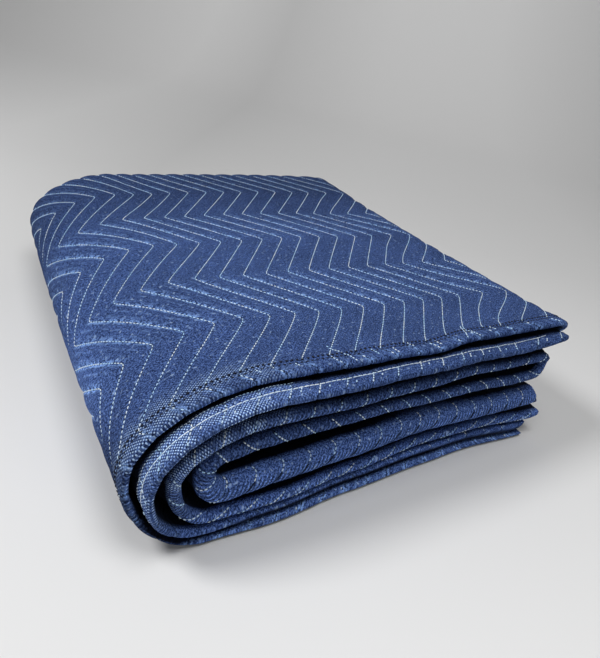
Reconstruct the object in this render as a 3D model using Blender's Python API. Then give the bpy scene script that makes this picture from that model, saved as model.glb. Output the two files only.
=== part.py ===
"""Quilted moving blanket, 72 by 80 inches, folded to a pad of sixteen layers that lies flat.

Metres, +Z up, with the pad resting on Z = 0 and its centre over the origin. The cloth is
folded front to back twice, which makes a strip of four layers, and the strip is folded side
to side twice, which makes four legs. The strip's section, in Y and layer offset, is swept
along the legs' path in X and Z, so the whole cloth is one closed body. Its turned hems and
the two-layer loops between them face -Y.
"""

import math

import bmesh
import bpy

# Cloth
CLOTH = 0.0055  # quilted cloth, lightly pressed
PITCH = 0.0087  # one layer with the air over it
HEM = 0.0072  # the turned and stitched edge
HEM_SHAPE = ((0.0, 0.5), (0.005, 1.0), (0.016, 1.0), (0.024, 0.0))  # depth, fullness

# Strip: four layers, seen from the side. Offsets count in PITCH from the strip's middle.
INNER_BACK = 0.016  # the back fold's inner pair turns this far short of its outer pair
HEM_BLEND = 0.075  # a hem's layer comes back to even spacing over this depth
LOOP_BLEND = 0.045
MID_DEPTH = 0.08  # Y of the one joint between the front and the back folds
EVEN = {"hem_a": -1.5, "hem_b": -0.5, "loop_in": 0.5, "loop_out": 1.5}
BACK_STEPS = 6
LOOP_STEPS = 6
INNER_STEPS = 4

# Path of the strip's middle, from the free end under the top pair to the free end below.
# A wrap joins each leg to the next, with its furthest X and the X it takes to turn.
LEG_COLUMNS = ("name", "level", "steps")
LEGS = (
    ("lower_mid", 1, 5),
    ("upper_mid", 2, 5),
    ("top", 3, 9),
    ("bottom", 0, 7),
)
WRAP_COLUMNS = ("name", "side", "extreme", "reach_in", "reach_out", "steps")
WRAPS = (
    ("inner_left", -1, -0.1760, 0.018, 0.018, 8),
    ("right", 1, 0.2080, 0.018, 0.020, 8),
    ("outer_left", -1, -0.2140, 0.092, 0.050, 13),
)
FREE_END = {"lower_mid": 0.222, "bottom": 0.218}
LOWEST_MIDDLE = 1.5 * PITCH + CLOTH / 2

# Edges of the strip at stations along the path. A leg counts 1 and a wrap counts 1, so 0 to 1
# is the lower middle leg, 1 to 2 the inner wrap, and 6 to 7 the bottom leg. Hem A, hem B, the
# front loop and the back fold are each a Y, and each off is a layer offset at the front. The
# front loop is pressed flatter than the cloth beside it: fold is half its thickness there.
EDGE_COLUMNS = ("along", "a", "a_off", "b", "b_off", "loop", "in_off", "out_off", "fold", "back")
EDGES = (
    (0.0, -0.205, -1.36, -0.180, -0.50, -0.2410, -1.40, 0.70, 0.0026, 0.258),
    (0.11, -0.200, -1.36, -0.175, -0.50, -0.2406, -1.40, 0.72, 0.0026, 0.257),
    (0.43, -0.190, -1.36, -0.165, -0.50, -0.2372, -1.60, 0.80, 0.0026, 0.256),
    (0.69, -0.190, -1.36, -0.165, -0.50, -0.2424, -1.35, 0.85, 0.0026, 0.254),
    (0.85, -0.190, -1.36, -0.165, -0.50, -0.2440, -1.00, 0.95, 0.0026, 0.253),
    (1.0, -0.190, -1.36, -0.165, -0.50, -0.2475, -1.05, 1.05, 0.0025, 0.253),
    (1.5, -0.190, -1.36, -0.165, -0.50, -0.2440, -1.05, 0.15, 0.0025, 0.251),
    (2.0, -0.190, -1.36, -0.165, -0.50, -0.2420, -0.85, -0.05, 0.0025, 0.253),
    (2.09, -0.190, -1.36, -0.165, -0.50, -0.2400, -0.60, 0.30, 0.0024, 0.253),
    (2.22, -0.190, -1.36, -0.165, -0.50, -0.2405, -0.22, 0.44, 0.0023, 0.254),
    (2.32, -0.192, -1.36, -0.167, -0.50, -0.2400, -0.15, 0.38, 0.0022, 0.254),
    (2.45, -0.194, -1.36, -0.169, -0.50, -0.2405, 0.12, 0.63, 0.0021, 0.255),
    (2.59, -0.197, -1.36, -0.172, -0.50, -0.2400, -0.08, 0.43, 0.0021, 0.256),
    (2.75, -0.200, -1.36, -0.175, -0.50, -0.2405, 0.10, 0.61, 0.0021, 0.256),
    (2.92, -0.204, -1.36, -0.179, -0.50, -0.2410, -0.24, 0.27, 0.0021, 0.257),
    (3.1, -0.207, -1.44, -0.182, -0.50, -0.2420, -0.10, 0.45, 0.0021, 0.257),
    (3.5, -0.215, -1.52, -0.220, -0.50, -0.2420, 0.95, 1.45, 0.0020, 0.258),
    (3.9, -0.229, -1.72, -0.240, -0.50, -0.2410, 1.40, 1.85, 0.0018, 0.259),
    (4.15, -0.232, -1.98, -0.247, -0.55, -0.2420, 1.22, 1.64, 0.0017, 0.262),
    (4.33, -0.233, -2.20, -0.249, -0.88, -0.2430, 0.76, 1.26, 0.0020, 0.263),
    (4.49, -0.236, -1.72, -0.250, -0.72, -0.2430, 1.16, 1.70, 0.0021, 0.262),
    (4.63, -0.235, -1.84, -0.250, -0.74, -0.2430, 1.24, 1.78, 0.0021, 0.262),
    (4.77, -0.234, -1.66, -0.250, -0.52, -0.2430, 1.52, 2.06, 0.0021, 0.261),
    (4.89, -0.234, -1.72, -0.250, -0.52, -0.2430, 1.46, 2.00, 0.0021, 0.260),
    (5.0, -0.232, -1.55, -0.250, -0.58, -0.2430, 1.40, 2.00, 0.0023, 0.260),
    (5.5, -0.233, -1.50, -0.252, -0.15, -0.2440, 1.80, 2.45, 0.0024, 0.256),
    (6.0, -0.247, -1.36, -0.248, -0.08, -0.2460, 1.15, 1.70, 0.0023, 0.259),
    (6.15, -0.2495, -1.36, -0.2470, -0.15, -0.2460, 1.00, 1.50, 0.0021, 0.259),
    (6.36, -0.2435, -1.36, -0.2400, -0.18, -0.2390, 0.95, 1.45, 0.0021, 0.258),
    (6.61, -0.2395, -1.36, -0.2355, -0.20, -0.2310, 0.95, 1.45, 0.0021, 0.257),
    (6.76, -0.2375, -1.36, -0.2350, -0.20, -0.2320, 0.95, 1.45, 0.0021, 0.257),
    (7.0, -0.2425, -1.36, -0.2420, -0.20, -0.2400, 0.90, 1.40, 0.0021, 0.256),
)

# How far each layer runs past its leg's free end
TIPS = {
    "lower_mid": {"hem_a": -0.008, "hem_b": -0.004, "loop_in": 0.004, "loop_out": 0.010},
    "bottom": {"hem_a": 0.008, "hem_b": -0.010, "loop_in": 0.018, "loop_out": 0.026},
}

# The pad stands higher at its open front than at its folded back, and its left and right
# edges lean in and out toward the back.
FRONT = -0.245
MID_BACK = 0.255
FRONT_LOFT = 1.065
BACK_LOFT = {"left": 0.945, "right": 1.0}
LEFT_LEAN = 0.015
RIGHT_LEAN = 0.015
CORNER_PUSH = {"front": 0.030, "back": 0.010}  # squares the right fold's upper corner
SWELL_COLUMNS = ("x", "y", "reach", "rise")
SWELLS = (
    (-0.120, 0.140, 0.110, -0.022),
    (0.020, 0.020, 0.120, 0.014),
    (0.150, 0.120, 0.090, -0.016),
    (-0.090, -0.170, 0.090, 0.016),
    (0.100, -0.200, 0.060, -0.018),
)

PAD_CENTRE = (0.01475, 0.0059)  # middle of the settled pad, moved over the origin

DENIM_BLUE = (0.060, 0.095, 0.200, 1.0)


def smooth(value):
    """Ease from 0 to 1."""
    value = min(max(value, 0.0), 1.0)
    return value * value * (3.0 - 2.0 * value)


def blend(start, end, value):
    return start + (end - start) * value


def edges_at(along):
    """The strip's named edges at one place along the path."""
    for here, after in zip(EDGES, EDGES[1:]):
        if along <= after[0]:
            part = smooth((along - here[0]) / (after[0] - here[0]))
            return {name: blend(*pair, part) for name, *pair in zip(EDGE_COLUMNS, here, after)}
    return dict(zip(EDGE_COLUMNS, EDGES[-1]))


def arc(centre_y, first_off, last_off, side, steps):
    """Points (Y, offset) of a half turn between two layers, bulging to side in Y."""
    radius = (last_off - first_off) / 2
    middle = (last_off + first_off) / 2
    points = []
    for step in range(steps + 1):
        angle = math.pi * step / steps
        bulge = side * abs(radius) * math.sin(angle)
        points.append((centre_y + bulge, middle - radius * math.cos(angle)))
    return points


def hem_run(edge, edge_off, even_off):
    """A layer from its turned hem to mid depth: (Y, offset, half thickness), front first."""
    run = []
    for depth, fullness in HEM_SHAPE:
        half = blend(CLOTH, HEM, fullness) / 2
        off = blend(edge_off, even_off, smooth(depth / HEM_BLEND)) * PITCH
        run.append((edge + depth, off, half))
    run.append((edge + HEM_BLEND, even_off * PITCH, CLOTH / 2))
    run.append((MID_DEPTH, even_off * PITCH, CLOTH / 2))
    return run


def loop_run(start, start_off, even_off, fold):
    """A layer from just behind the front loop to mid depth, front first."""
    run = []
    for part in (0.33, 0.67, 1.0):
        off = blend(start_off, even_off, smooth(part)) * PITCH
        half = blend(fold, CLOTH / 2, smooth(part))
        run.append((start + part * LOOP_BLEND, off, half))
    run.append((MID_DEPTH, even_off * PITCH, CLOTH / 2))
    return run


def strip_middle(edges):
    """The strip's middle line: (Y, offset, half thickness) from hem A round to hem B."""
    even = {name: off * PITCH for name, off in EVEN.items()}
    outer_y = edges["back"] - 1.5 * PITCH
    inner_y = edges["back"] - INNER_BACK
    loop_y = edges["loop"] + (edges["out_off"] - edges["in_off"]) / 2 * PITCH
    outer = arc(outer_y, even["hem_a"], even["loop_out"], 1, BACK_STEPS)
    loop = arc(loop_y, edges["out_off"] * PITCH, edges["in_off"] * PITCH, -1, LOOP_STEPS)
    inner = arc(inner_y, even["loop_in"], even["hem_b"], 1, INNER_STEPS)
    line = hem_run(edges["a"], edges["a_off"], EVEN["hem_a"])
    line += [(y, off, CLOTH / 2) for y, off in outer]
    line += reversed(loop_run(loop_y, edges["out_off"], EVEN["loop_out"], edges["fold"]))
    line += [(y, off, edges["fold"]) for y, off in loop]
    line += loop_run(loop_y, edges["in_off"], EVEN["loop_in"], edges["fold"])
    line += [(y, off, CLOTH / 2) for y, off in inner]
    line += reversed(hem_run(edges["b"], edges["b_off"], EVEN["hem_b"]))
    return line


def strip_outline(line):
    """The closed outline of the strip's section: both faces of the cloth round its middle."""
    faces = ([], [])
    for index, (y, off, half) in enumerate(line):
        before = line[max(index - 1, 0)]
        after = line[min(index + 1, len(line) - 1)]
        into = (y - before[0], off - before[1])
        out = (after[0] - y, after[1] - off)
        turn_in = math.atan2(into[1], into[0]) if index else math.atan2(out[1], out[0])
        turn_out = math.atan2(out[1], out[0]) if index < len(line) - 1 else turn_in
        bend = (turn_out - turn_in + math.pi) % (2 * math.pi) - math.pi
        angle = turn_in + bend / 2 + math.pi / 2
        reach = half / math.cos(bend / 2)
        for face, sign in zip(faces, (1, -1)):
            face.append((y + sign * reach * math.cos(angle), off + sign * reach * math.sin(angle)))
    return faces[0] + faces[1][::-1]


def turn_at(wrap, reach):
    """X where a wrap starts or ends."""
    return wrap["extreme"] - wrap["side"] * wrap[reach]


def path_stations():
    """Stations (along, X, Z, tangent X, tangent Z) of the path, from free end to free end."""
    legs = [dict(zip(LEG_COLUMNS, row)) for row in LEGS]
    wraps = [dict(zip(WRAP_COLUMNS, row)) for row in WRAPS]
    levels = [LOWEST_MIDDLE + 4 * PITCH * leg["level"] for leg in legs]
    starts = [FREE_END["lower_mid"]] + [turn_at(wrap, "reach_out") for wrap in wraps]
    stops = [turn_at(wrap, "reach_in") for wrap in wraps] + [FREE_END["bottom"]]
    stations = []
    for index, leg in enumerate(legs):
        if index:
            stations += wrap_stations(2 * index - 1, wraps[index - 1], *levels[index - 1 : index + 1])
        heading = math.copysign(1.0, stops[index] - starts[index])
        first = 1 if index else 0
        last = leg["steps"] if index == len(legs) - 1 else leg["steps"] - 1
        for step in range(first, last + 1):
            part = step / leg["steps"]
            x = blend(starts[index], stops[index], part)
            stations.append((2 * index + part, x, levels[index], heading, 0.0))
    return stations


def wrap_stations(along, wrap, first, last):
    """Stations of one half turn, made of two quarter ellipses."""
    rise = (last - first) / 2
    stations = []
    for step in range(wrap["steps"] + 1):
        part = step / wrap["steps"]
        angle = math.pi * (part - 0.5)
        reach = wrap["side"] * (wrap["reach_in"] if angle < 0 else wrap["reach_out"])
        x = wrap["extreme"] - reach * (1 - math.cos(angle))
        z = (first + last) / 2 + rise * math.sin(angle)
        tangent = (-reach * math.sin(angle), rise * math.cos(angle))
        length = math.hypot(*tangent)
        stations.append((along + part, x, z, tangent[0] / length, tangent[1] / length))
    return stations


def settle(x, y, z):
    """The pad's uneven loft and leaning sides, flat where it rests, centred on the origin."""
    back = (y - FRONT) / (MID_BACK - FRONT)
    rightward = smooth((x + 0.2) / 0.4)
    loft = blend(FRONT_LOFT, blend(BACK_LOFT["left"], BACK_LOFT["right"], rightward), back)
    for swell in (dict(zip(SWELL_COLUMNS, row)) for row in SWELLS):
        reach = math.hypot(x - swell["x"], y - swell["y"]) / swell["reach"]
        loft += swell["rise"] * smooth(1 - reach)
    lean = LEFT_LEAN * back * abs(back) * smooth((-0.03 - x) / 0.17)
    lean += RIGHT_LEAN * back * smooth((x - 0.02) / 0.18)
    push = blend(CORNER_PUSH["front"], CORNER_PUSH["back"], smooth(1.5 * back))
    lean += push * smooth((x - 0.14) / 0.06) * smooth((z - 0.099) / 0.027)
    return (x + lean - PAD_CENTRE[0], y - PAD_CENTRE[1], max(z * loft, 0.0))


def tip_at(along, off):
    """How far a free end's layers run past their leg, by their layer offset."""
    name = "lower_mid" if along < 1 else "bottom"
    ease = smooth(1 - along / 0.6) if along < 1 else smooth((along - 6.4) / 0.6)
    layers = [(EVEN[layer] * PITCH, reach) for layer, reach in TIPS[name].items()]
    reach = layers[0][1]
    for here, after in zip(layers, layers[1:]):
        reach += (after[1] - here[1]) * smooth((off - here[0]) / (after[0] - here[0]))
    return ease * reach


def swept_cloth():
    """The strip's outline at each station along the path, joined into one closed body."""
    shape = bmesh.new()
    rings = []
    for along, x, z, tangent_x, tangent_z in path_stations():
        outline = strip_outline(strip_middle(edges_at(along)))
        ring = []
        for y, off in outline:
            tip = tip_at(along, off)
            point = settle(x + tip - tangent_z * off, y, z + tangent_x * off)
            ring.append(shape.verts.new(point))
        rings.append(ring)
    for ring, following in zip(rings, rings[1:]):
        for index in range(len(ring)):
            after = (index + 1) % len(ring)
            shape.faces.new((ring[index], ring[after], following[after], following[index]))
    shape.faces.new(rings[0])
    shape.faces.new(rings[-1][::-1])
    bmesh.ops.recalc_face_normals(shape, faces=shape.faces)
    return shape


def cloth_material():
    material = bpy.data.materials.new("blue_quilted_cotton")
    material.use_nodes = True
    surface = material.node_tree.nodes["Principled BSDF"]
    surface.inputs["Base Color"].default_value = DENIM_BLUE
    surface.inputs["Roughness"].default_value = 0.9
    surface.inputs["Metallic"].default_value = 0.0
    return material


def main():
    for thing in list(bpy.data.objects):
        bpy.data.objects.remove(thing, do_unlink=True)
    group = bpy.data.collections.new("moving_blanket")
    bpy.context.scene.collection.children.link(group)
    mesh = bpy.data.meshes.new("blanket_cloth")
    shape = swept_cloth()
    shape.to_mesh(mesh)
    shape.free()
    mesh.shade_smooth()
    mesh.set_sharp_from_angle(angle=math.radians(50))
    mesh.materials.append(cloth_material())
    group.objects.link(bpy.data.objects.new("blanket_cloth", mesh))


main()
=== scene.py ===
"""Quilted moving blanket folded to a pad of sixteen layers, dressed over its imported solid.

The cloth is one closed mesh, swept as the solid is: the strip's section (V, along the cloth
from hem A to hem B) runs along the legs' path (T, from free end to free end). Its columns
follow the zigzag quilting, so every stitched line is a real groove between soft puffs.
Metres, in the shared frame.
"""

import math
from collections import namedtuple

import bpy
import numpy as np
from mathutils import Matrix, Vector

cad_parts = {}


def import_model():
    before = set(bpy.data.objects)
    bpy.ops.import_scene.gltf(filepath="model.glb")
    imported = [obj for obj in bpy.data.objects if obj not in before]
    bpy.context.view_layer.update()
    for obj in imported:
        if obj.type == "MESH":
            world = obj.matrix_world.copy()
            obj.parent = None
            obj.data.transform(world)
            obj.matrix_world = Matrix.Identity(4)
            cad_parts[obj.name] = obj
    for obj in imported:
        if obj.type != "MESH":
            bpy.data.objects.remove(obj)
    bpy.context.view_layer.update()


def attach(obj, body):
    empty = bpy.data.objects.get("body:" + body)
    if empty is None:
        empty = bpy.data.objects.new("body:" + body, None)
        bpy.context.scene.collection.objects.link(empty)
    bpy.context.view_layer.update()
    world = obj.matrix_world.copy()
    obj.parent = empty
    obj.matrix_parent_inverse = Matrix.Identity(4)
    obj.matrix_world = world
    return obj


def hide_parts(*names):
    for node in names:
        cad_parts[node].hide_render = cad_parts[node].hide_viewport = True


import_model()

# ---- sizes, as in the solid
CLOTH = 0.0055  # quilted cloth, lightly pressed
PITCH = 0.0087  # one layer with the air over it
HEM = 0.0072  # the turned and stitched edge
INNER_BACK = 0.016  # the inner pair starts to turn this far short of the back
HEM_BLEND = 0.075  # a hem's layer comes back to even spacing over this depth
LOOP_BLEND = 0.045  # and the front loop's over this

# Path of the strip's middle, from the free end under the top pair to the free end below.
# A wrap joins two legs, with its furthest X and the X it takes to turn.
LEGS = (("lower_mid", 1), ("upper_mid", 2), ("top", 3), ("bottom", 0))  # name, level
Wrap = namedtuple("Wrap", "name side extreme reach_in reach_out")
WRAPS = (
    Wrap("inner_left", -1, -0.176, 0.018, 0.018),
    Wrap("right", 1, 0.208, 0.018, 0.02),
    Wrap("outer_left", -1, -0.214, 0.092, 0.05),
)
FREE_END = {"lower_mid": 0.222, "bottom": 0.218}
LOWEST_MIDDLE = 1.5 * PITCH + CLOTH / 2
LEG_SAMPLES = 201
WRAP_SAMPLES = 401

# Edges of the strip at stations along the path. A leg counts 1 and a wrap counts 1: 0 to 1 is
# the lower middle leg and 6 to 7 the bottom leg. The hems, the loop and the back are each a Y,
# and each off is a layer's offset at the front, in PITCH. Fold is half the pressed thickness.
EDGE_COLUMNS = "along a a_off b b_off loop in_off out_off fold back".split()
EDGES = (
    (0.0, -0.205, -1.36, -0.18, -0.5, -0.241, -1.4, 0.7, 0.0026, 0.258),
    (0.11, -0.2, -1.36, -0.175, -0.5, -0.2406, -1.4, 0.72, 0.0026, 0.257),
    (0.43, -0.19, -1.36, -0.165, -0.5, -0.2372, -1.6, 0.8, 0.0026, 0.256),
    (0.69, -0.19, -1.36, -0.165, -0.5, -0.2424, -1.35, 0.85, 0.0026, 0.254),
    (0.85, -0.19, -1.36, -0.165, -0.5, -0.244, -1.0, 0.95, 0.0026, 0.253),
    (1.0, -0.19, -1.36, -0.165, -0.5, -0.2475, -1.05, 1.05, 0.0025, 0.253),
    (1.5, -0.19, -1.36, -0.165, -0.5, -0.244, -1.05, 0.15, 0.0025, 0.251),
    (2.0, -0.19, -1.36, -0.165, -0.5, -0.242, -0.85, -0.05, 0.0025, 0.253),
    (2.09, -0.19, -1.36, -0.165, -0.5, -0.24, -0.6, 0.3, 0.0024, 0.253),
    (2.22, -0.19, -1.36, -0.165, -0.5, -0.2405, -0.22, 0.44, 0.0023, 0.254),
    (2.32, -0.192, -1.36, -0.167, -0.5, -0.24, -0.15, 0.38, 0.0022, 0.254),
    (2.45, -0.194, -1.36, -0.169, -0.5, -0.2405, 0.12, 0.63, 0.0021, 0.255),
    (2.59, -0.197, -1.36, -0.172, -0.5, -0.24, -0.08, 0.43, 0.0021, 0.256),
    (2.75, -0.2, -1.36, -0.175, -0.5, -0.2405, 0.1, 0.61, 0.0021, 0.256),
    (2.92, -0.204, -1.36, -0.179, -0.5, -0.241, -0.24, 0.27, 0.0021, 0.257),
    (3.1, -0.207, -1.44, -0.182, -0.5, -0.242, -0.1, 0.45, 0.0021, 0.257),
    (3.5, -0.215, -1.52, -0.22, -0.5, -0.242, 0.95, 1.45, 0.002, 0.258),
    (3.9, -0.229, -1.72, -0.24, -0.5, -0.241, 1.4, 1.85, 0.0018, 0.259),
    (4.15, -0.232, -1.98, -0.247, -0.55, -0.242, 1.22, 1.64, 0.0017, 0.262),
    (4.33, -0.233, -2.2, -0.249, -0.88, -0.243, 0.76, 1.26, 0.002, 0.263),
    (4.49, -0.236, -1.72, -0.25, -0.72, -0.243, 1.16, 1.7, 0.0021, 0.262),
    (4.63, -0.235, -1.84, -0.25, -0.74, -0.243, 1.24, 1.78, 0.0021, 0.262),
    (4.77, -0.234, -1.66, -0.25, -0.52, -0.243, 1.52, 2.06, 0.0021, 0.261),
    (4.89, -0.234, -1.72, -0.25, -0.52, -0.243, 1.46, 2.0, 0.0021, 0.26),
    (5.0, -0.232, -1.55, -0.25, -0.58, -0.243, 1.4, 2.0, 0.0023, 0.26),
    (5.5, -0.233, -1.5, -0.252, -0.15, -0.244, 1.8, 2.45, 0.0024, 0.256),
    (6.0, -0.247, -1.36, -0.248, -0.08, -0.246, 1.15, 1.7, 0.0023, 0.259),
    (6.15, -0.2495, -1.36, -0.247, -0.15, -0.246, 1.0, 1.5, 0.0021, 0.259),
    (6.36, -0.2435, -1.36, -0.24, -0.18, -0.239, 0.95, 1.45, 0.0021, 0.258),
    (6.61, -0.2395, -1.36, -0.2355, -0.2, -0.231, 0.95, 1.45, 0.0021, 0.257),
    (6.76, -0.2375, -1.36, -0.235, -0.2, -0.232, 0.95, 1.45, 0.0021, 0.257),
    (7.0, -0.2425, -1.36, -0.242, -0.2, -0.24, 0.9, 1.4, 0.0021, 0.256),
)
# How far each layer runs past its leg's free end: hem A's, hem B's and the loop's two
TIP_OFFSETS = np.array((-1.5, -0.5, 0.5, 1.5)) * PITCH
TIPS = {
    "lower_mid": (-0.008, -0.004, 0.004, 0.010),
    "bottom": (0.008, -0.010, 0.018, 0.026),
}

# The pad stands higher at its open front than at its back, and its sides lean with depth.
FRONT = -0.245
MID_BACK = 0.255
FRONT_LOFT = 1.065
BACK_LOFT = {"left": 0.945, "right": 1.0}
LEFT_LEAN = 0.015
RIGHT_LEAN = 0.015
CORNER_PUSH = {"front": 0.030, "back": 0.010}  # squares the right fold's upper corner
SWELLS = (  # X, Y, reach, rise
    (-0.12, 0.14, 0.11, -0.022),
    (0.02, 0.02, 0.12, 0.014),
    (0.15, 0.12, 0.09, -0.016),
    (-0.09, -0.17, 0.09, 0.016),
    (0.1, -0.2, 0.06, -0.018),
)
PAD_CENTRE = (0.01475, 0.0059)  # of the settled pad, moved over the origin

# ---- quilting
SPACING = 0.0254  # between stitched lines, along the path
HALF_PERIOD = 0.0809  # from turn to turn of the zigzag
REACH = 0.0642  # how far the zigzag swings
ROW_ZERO = 0.1740  # V of a right-hand turn on the top layer
LINE_ZERO = 6.3  # line number of a right-hand turn at X 0 on the top leg
CORNER_ROUND = 0.022  # of half a period
GROOVE = 0.0018  # how far each face sinks at a stitched line
GROOVE_SHARPNESS = 0.7

# Nominal Y and V of landmarks. V runs along the cloth, from hem A's Y.
HEM_A_V = -0.2430
LOOP_Y = -0.2410
HEM_B_Y = -0.2480
NOMINAL_BACK = 0.2570
BACK_Y = NOMINAL_BACK - 1.5 * PITCH
INNER_Y = NOMINAL_BACK - INNER_BACK
HALF_LOOP = 0.010  # cloth that half of the front loop takes
BACK_START_V = BACK_Y
BACK_END_V = BACK_START_V + math.pi * 1.5 * PITCH
LOOP_V = BACK_END_V + (BACK_Y - LOOP_Y) + HALF_LOOP
INNER_START_V = LOOP_V + HALF_LOOP + (INNER_Y - LOOP_Y)
INNER_END_V = INNER_START_V + math.pi * 0.5 * PITCH
HEM_B_V = INNER_END_V + (INNER_Y - HEM_B_Y)
# The cloth is laid true to length near its edges and its loop, and evens out between them.
LOOP_TRUE = 0.060  # each side of the loop
HEM_A_TRUE = 0.09
BACK_TRUE_FROM = 0.10
HEM_B_TRUE = 0.4
# The zigzag's own V is shifted past the back fold, so that a turn lies along the loop's top.
LOOP_TURN_V = LOOP_V + 0.009
LOOP_PHASE = round((LOOP_V - ROW_ZERO) / (2 * HALF_PERIOD)) * 2 * HALF_PERIOD + ROW_ZERO
LOOP_PHASE = LOOP_PHASE - LOOP_TURN_V
PHASE_DONE_V = LOOP_V - 0.08


def smooth(value):
    value = np.clip(value, 0.0, 1.0)
    return value * value * (3.0 - 2.0 * value)


def ease(value, start, reach):
    """0 up to the start, and easing to 1 over the reach past it."""
    return smooth((value - start) / reach)


def before(value, end, reach):
    """0 from the end on, and easing to 1 over the reach before it."""
    return smooth((end - value) / reach)


def between(value, comes, goes):
    """1 in the middle. Comes and goes are each a start and the reach it takes."""
    return ease(value, *comes) * (1 - ease(value, *goes))


def blend(start, end, value):
    return start + (end - start) * value


# ---- the path and the strip
def sample_path():
    """Dense stations of the strip's middle: T, along, X, Z and unwrapped heading."""
    levels = [LOWEST_MIDDLE + 4 * PITCH * level for _, level in LEGS]
    starts = [FREE_END["lower_mid"]]
    starts += [wrap.extreme - wrap.side * wrap.reach_out for wrap in WRAPS]
    stops = [wrap.extreme - wrap.side * wrap.reach_in for wrap in WRAPS] + [FREE_END["bottom"]]
    pieces = []
    for index in range(4):
        if index:
            wrap = WRAPS[index - 1]
            part = np.linspace(0, 1, WRAP_SAMPLES)[1:-1]
            angle = math.pi * (part - 0.5)
            reach = wrap.side * np.where(angle < 0, wrap.reach_in, wrap.reach_out)
            rise = (levels[index] - levels[index - 1]) / 2
            x = wrap.extreme - reach * (1 - np.cos(angle))
            z = (levels[index] + levels[index - 1]) / 2 + rise * np.sin(angle)
            heading = np.arctan2(rise * np.cos(angle), -reach * np.sin(angle))
            pieces.append((2 * index - 1 + part, x, z, heading))
        part = np.linspace(0, 1, LEG_SAMPLES)
        x = blend(starts[index], stops[index], part)
        heading = np.full_like(part, 0.0 if stops[index] > starts[index] else math.pi)
        pieces.append((2 * index + part, x, np.full_like(part, levels[index]), heading))
    along, x, z, heading = (np.concatenate(column) for column in zip(*pieces))
    t = np.concatenate([[0.0], np.cumsum(np.hypot(np.diff(x), np.diff(z)))])
    return t, along, x, z, np.unwrap(heading)


PATH_T, PATH_ALONG, PATH_X, PATH_Z, PATH_HEADING = sample_path()
PATH_END = PATH_T[-1]
TOP_START = 4.0  # where the top leg starts, along the path
TOP_START_X = float(np.interp(TOP_START, PATH_ALONG, PATH_X))


def t_at(along):
    return float(np.interp(along, PATH_ALONG, PATH_T))


def along_at(t):
    return np.interp(t, PATH_T, PATH_ALONG)


TOP_START_T = t_at(TOP_START)


def heading_at(t):
    return np.interp(t, PATH_T, PATH_HEADING)


def edges_at(along):
    table = np.array(EDGES)
    index = np.clip(np.searchsorted(table[:, 0], along, side="right") - 1, 0, len(table) - 2)
    part = smooth((along - table[index, 0]) / (table[index + 1, 0] - table[index, 0]))
    return {
        name: blend(table[index, column], table[index + 1, column], part)
        for column, name in enumerate(EDGE_COLUMNS)
    }


def zigzag(v):
    """0 at a right-hand turn and 1 at a left-hand one, with slightly rounded corners."""
    shifted = v + LOOP_PHASE * ease(v, BACK_END_V, PHASE_DONE_V - BACK_END_V)
    phase = np.mod((shifted - ROW_ZERO) / (2 * HALF_PERIOD), 1.0)
    ramp = 1.0 - np.abs(2.0 * phase - 1.0)
    level = math.sqrt(0.25 + CORNER_ROUND**2) - 0.5
    low = np.sqrt(ramp * ramp + CORNER_ROUND**2) - level
    high = 1.0 - (np.sqrt((1.0 - ramp) ** 2 + CORNER_ROUND**2) - level)
    return np.where(ramp < 0.5, low, high)


LOOP_STEP = 0.016  # V over which the even offset crosses the loop


def even_offset(v):
    """The layer's nominal distance from the strip's middle."""
    back = (v - BACK_START_V) / (BACK_END_V - BACK_START_V)
    loop = (v - LOOP_V) / LOOP_STEP + 0.5
    inner = (v - INNER_START_V) / (INNER_END_V - INNER_START_V)
    off = -1.5 * np.cos(math.pi * np.clip(back, 0, 1))
    off = off - (1 - np.cos(math.pi * np.clip(loop, 0, 1))) * 0.5
    off = off - (1 - np.cos(math.pi * np.clip(inner, 0, 1))) * 0.5
    return off * PITCH


def line_number(v, t):
    """Which stitched line passes here: whole numbers are the lines."""
    own = t - even_offset(v) * (heading_at(t) - math.pi)
    x = TOP_START_X - (own - TOP_START_T)
    return x / SPACING + LINE_ZERO + REACH / SPACING * zigzag(v)


def t_of_line(v, number):
    """The T where a line number passes at V, by 60 fixed-point steps."""
    x = (number - LINE_ZERO) * SPACING - REACH * zigzag(v)
    own = TOP_START_T + TOP_START_X - x
    off = even_offset(v)
    t = own.copy()
    for _ in range(60):
        t = 0.5 * t + 0.5 * (own + off * (heading_at(t) - math.pi))
    return t


def groove(number):
    """1 on a stitched line, easing to 0 between two lines."""
    return 1.0 - np.abs(np.sin(math.pi * number)) ** GROOVE_SHARPNESS


def pick(here, new, old):
    """The new (Y, offset) where here is true, and the old elsewhere."""
    return [np.where(here, *pair) for pair in zip(new, old)]


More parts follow.
